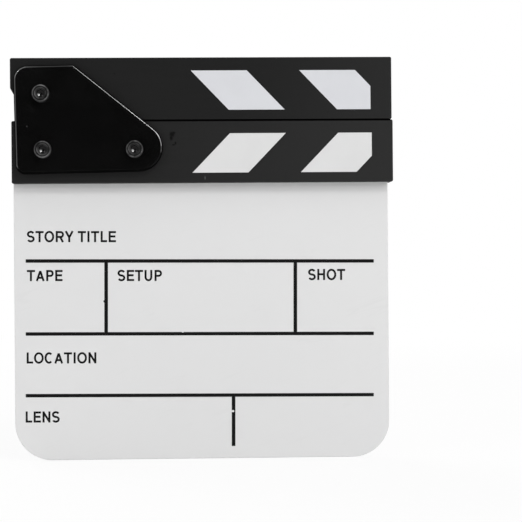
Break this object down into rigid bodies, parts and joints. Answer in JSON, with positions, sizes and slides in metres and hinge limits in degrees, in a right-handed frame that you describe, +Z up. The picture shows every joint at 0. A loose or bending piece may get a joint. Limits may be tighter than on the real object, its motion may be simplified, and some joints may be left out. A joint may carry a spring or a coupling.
{
  "type": "clapperboard",
  "caption": "Small film slate: a white writing board in a slotted black stick, with a second striped stick hinged above it between two plates so that it claps shut.",
  "frame": {"origin": "middle of the writing board's bottom edge, halfway through its thickness", "axes": "+X to the right as seen from the front, +Y from front to back, +Z up from the board's bottom edge to the sticks"},
  "size_m": [0.155, 0.0278, 0.1631],
  "materials": {
    "white_acrylic": "satin",
    "black_wood": "matte",
    "black_acrylic": "gloss",
    "black_steel": "satin",
    "zinc_steel": "satin",
    "pale_nylon": "satin",
    "black_nylon": "matte",
    "brass": "satin",
    "nickel": "polished",
    "pale_film": "satin"
  },
  "bodies": {
    "slate": {"writing_board": "white_acrylic", "lower_stick": "black_wood", "front_hinge_plate": "black_acrylic", "rear_hinge_plate": "black_acrylic", "pivot_screw": "black_steel", "left_fixing_screw": "black_steel", "right_fixing_screw": "black_steel", "pivot_lock_nut": "zinc_steel", "left_lock_nut": "zinc_steel", "right_lock_nut": "zinc_steel", "lock_nut_rings": "pale_nylon", "front_pivot_washer": "black_nylon", "rear_pivot_washer": "black_nylon", "front_spacer_washers": "black_nylon", "rear_spacer_washers": "black_nylon", "lower_magnet": "nickel", "lower_inner_stripe": "pale_film", "lower_end_stripe": "pale_film"},
    "clapper": {"upper_stick": "black_wood", "pivot_bush": "brass", "upper_magnet": "nickel", "upper_inner_stripe": "pale_film", "upper_end_stripe": "pale_film"}
  },
  "joints": [
    {"name": "clapper_hinge", "type": "hinge", "parent": "slate", "child": "clapper", "pos_m": [-0.06421, 0, 0.1483], "axis": [0, -1, 0], "range_deg": [0, 60]}
  ]
}
